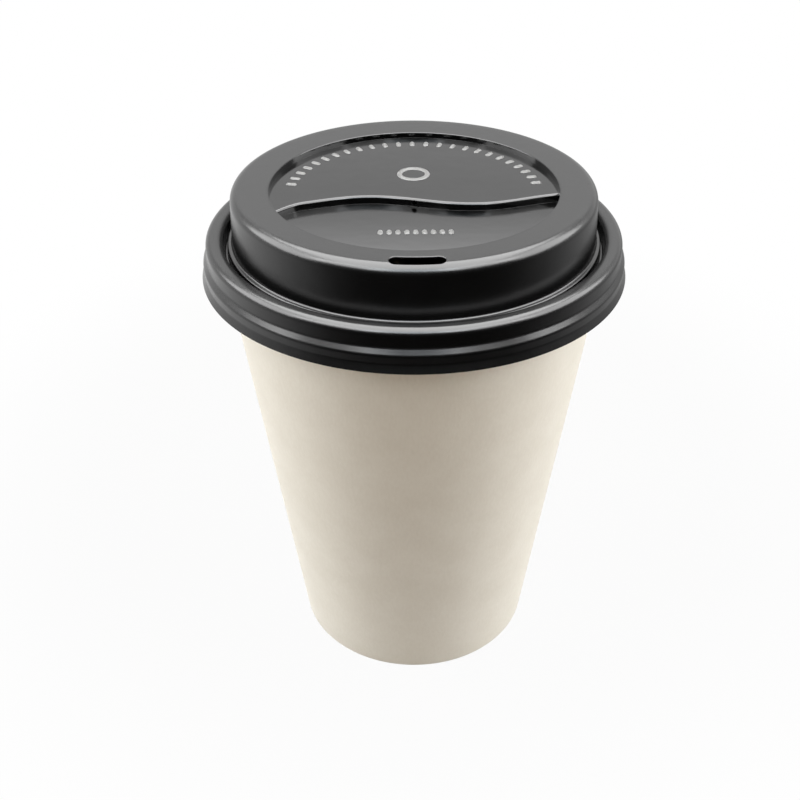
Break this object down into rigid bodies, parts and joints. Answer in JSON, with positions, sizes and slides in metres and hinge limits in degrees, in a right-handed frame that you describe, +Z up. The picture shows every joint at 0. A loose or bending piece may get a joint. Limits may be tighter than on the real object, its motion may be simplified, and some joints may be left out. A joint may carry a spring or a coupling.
{
  "type": "lidded paper cup",
  "caption": "Tapered paperboard cup with a rolled rim and folded-in base, closed by a clip-on plastic lid with a domed rim, a recessed top with a wave-shaped step and a sip hole.",
  "frame": {"origin": "centre of the foot, on the surface that the cup stands on", "axes": "+Z is up along the cup's axis, the sip hole faces -Y (turned 1 degree towards +X), and the glued side seam is at +Y"},
  "size_m": [0.0946, 0.0946, 0.1195],
  "materials": {
    "cup_board": "matt, coated inside",
    "lid_sheet": "satin"
  },
  "bodies": {
    "cup": {"side_wall": "cup_board", "base_disc": "cup_board"},
    "lid": {"lid": "lid_sheet"}
  },
  "joints": [
    {"name": "lid_lift", "type": "slide", "parent": "cup", "child": "lid", "axis": [0, 0, 1], "range_m": [0, 0.05]}
  ]
}
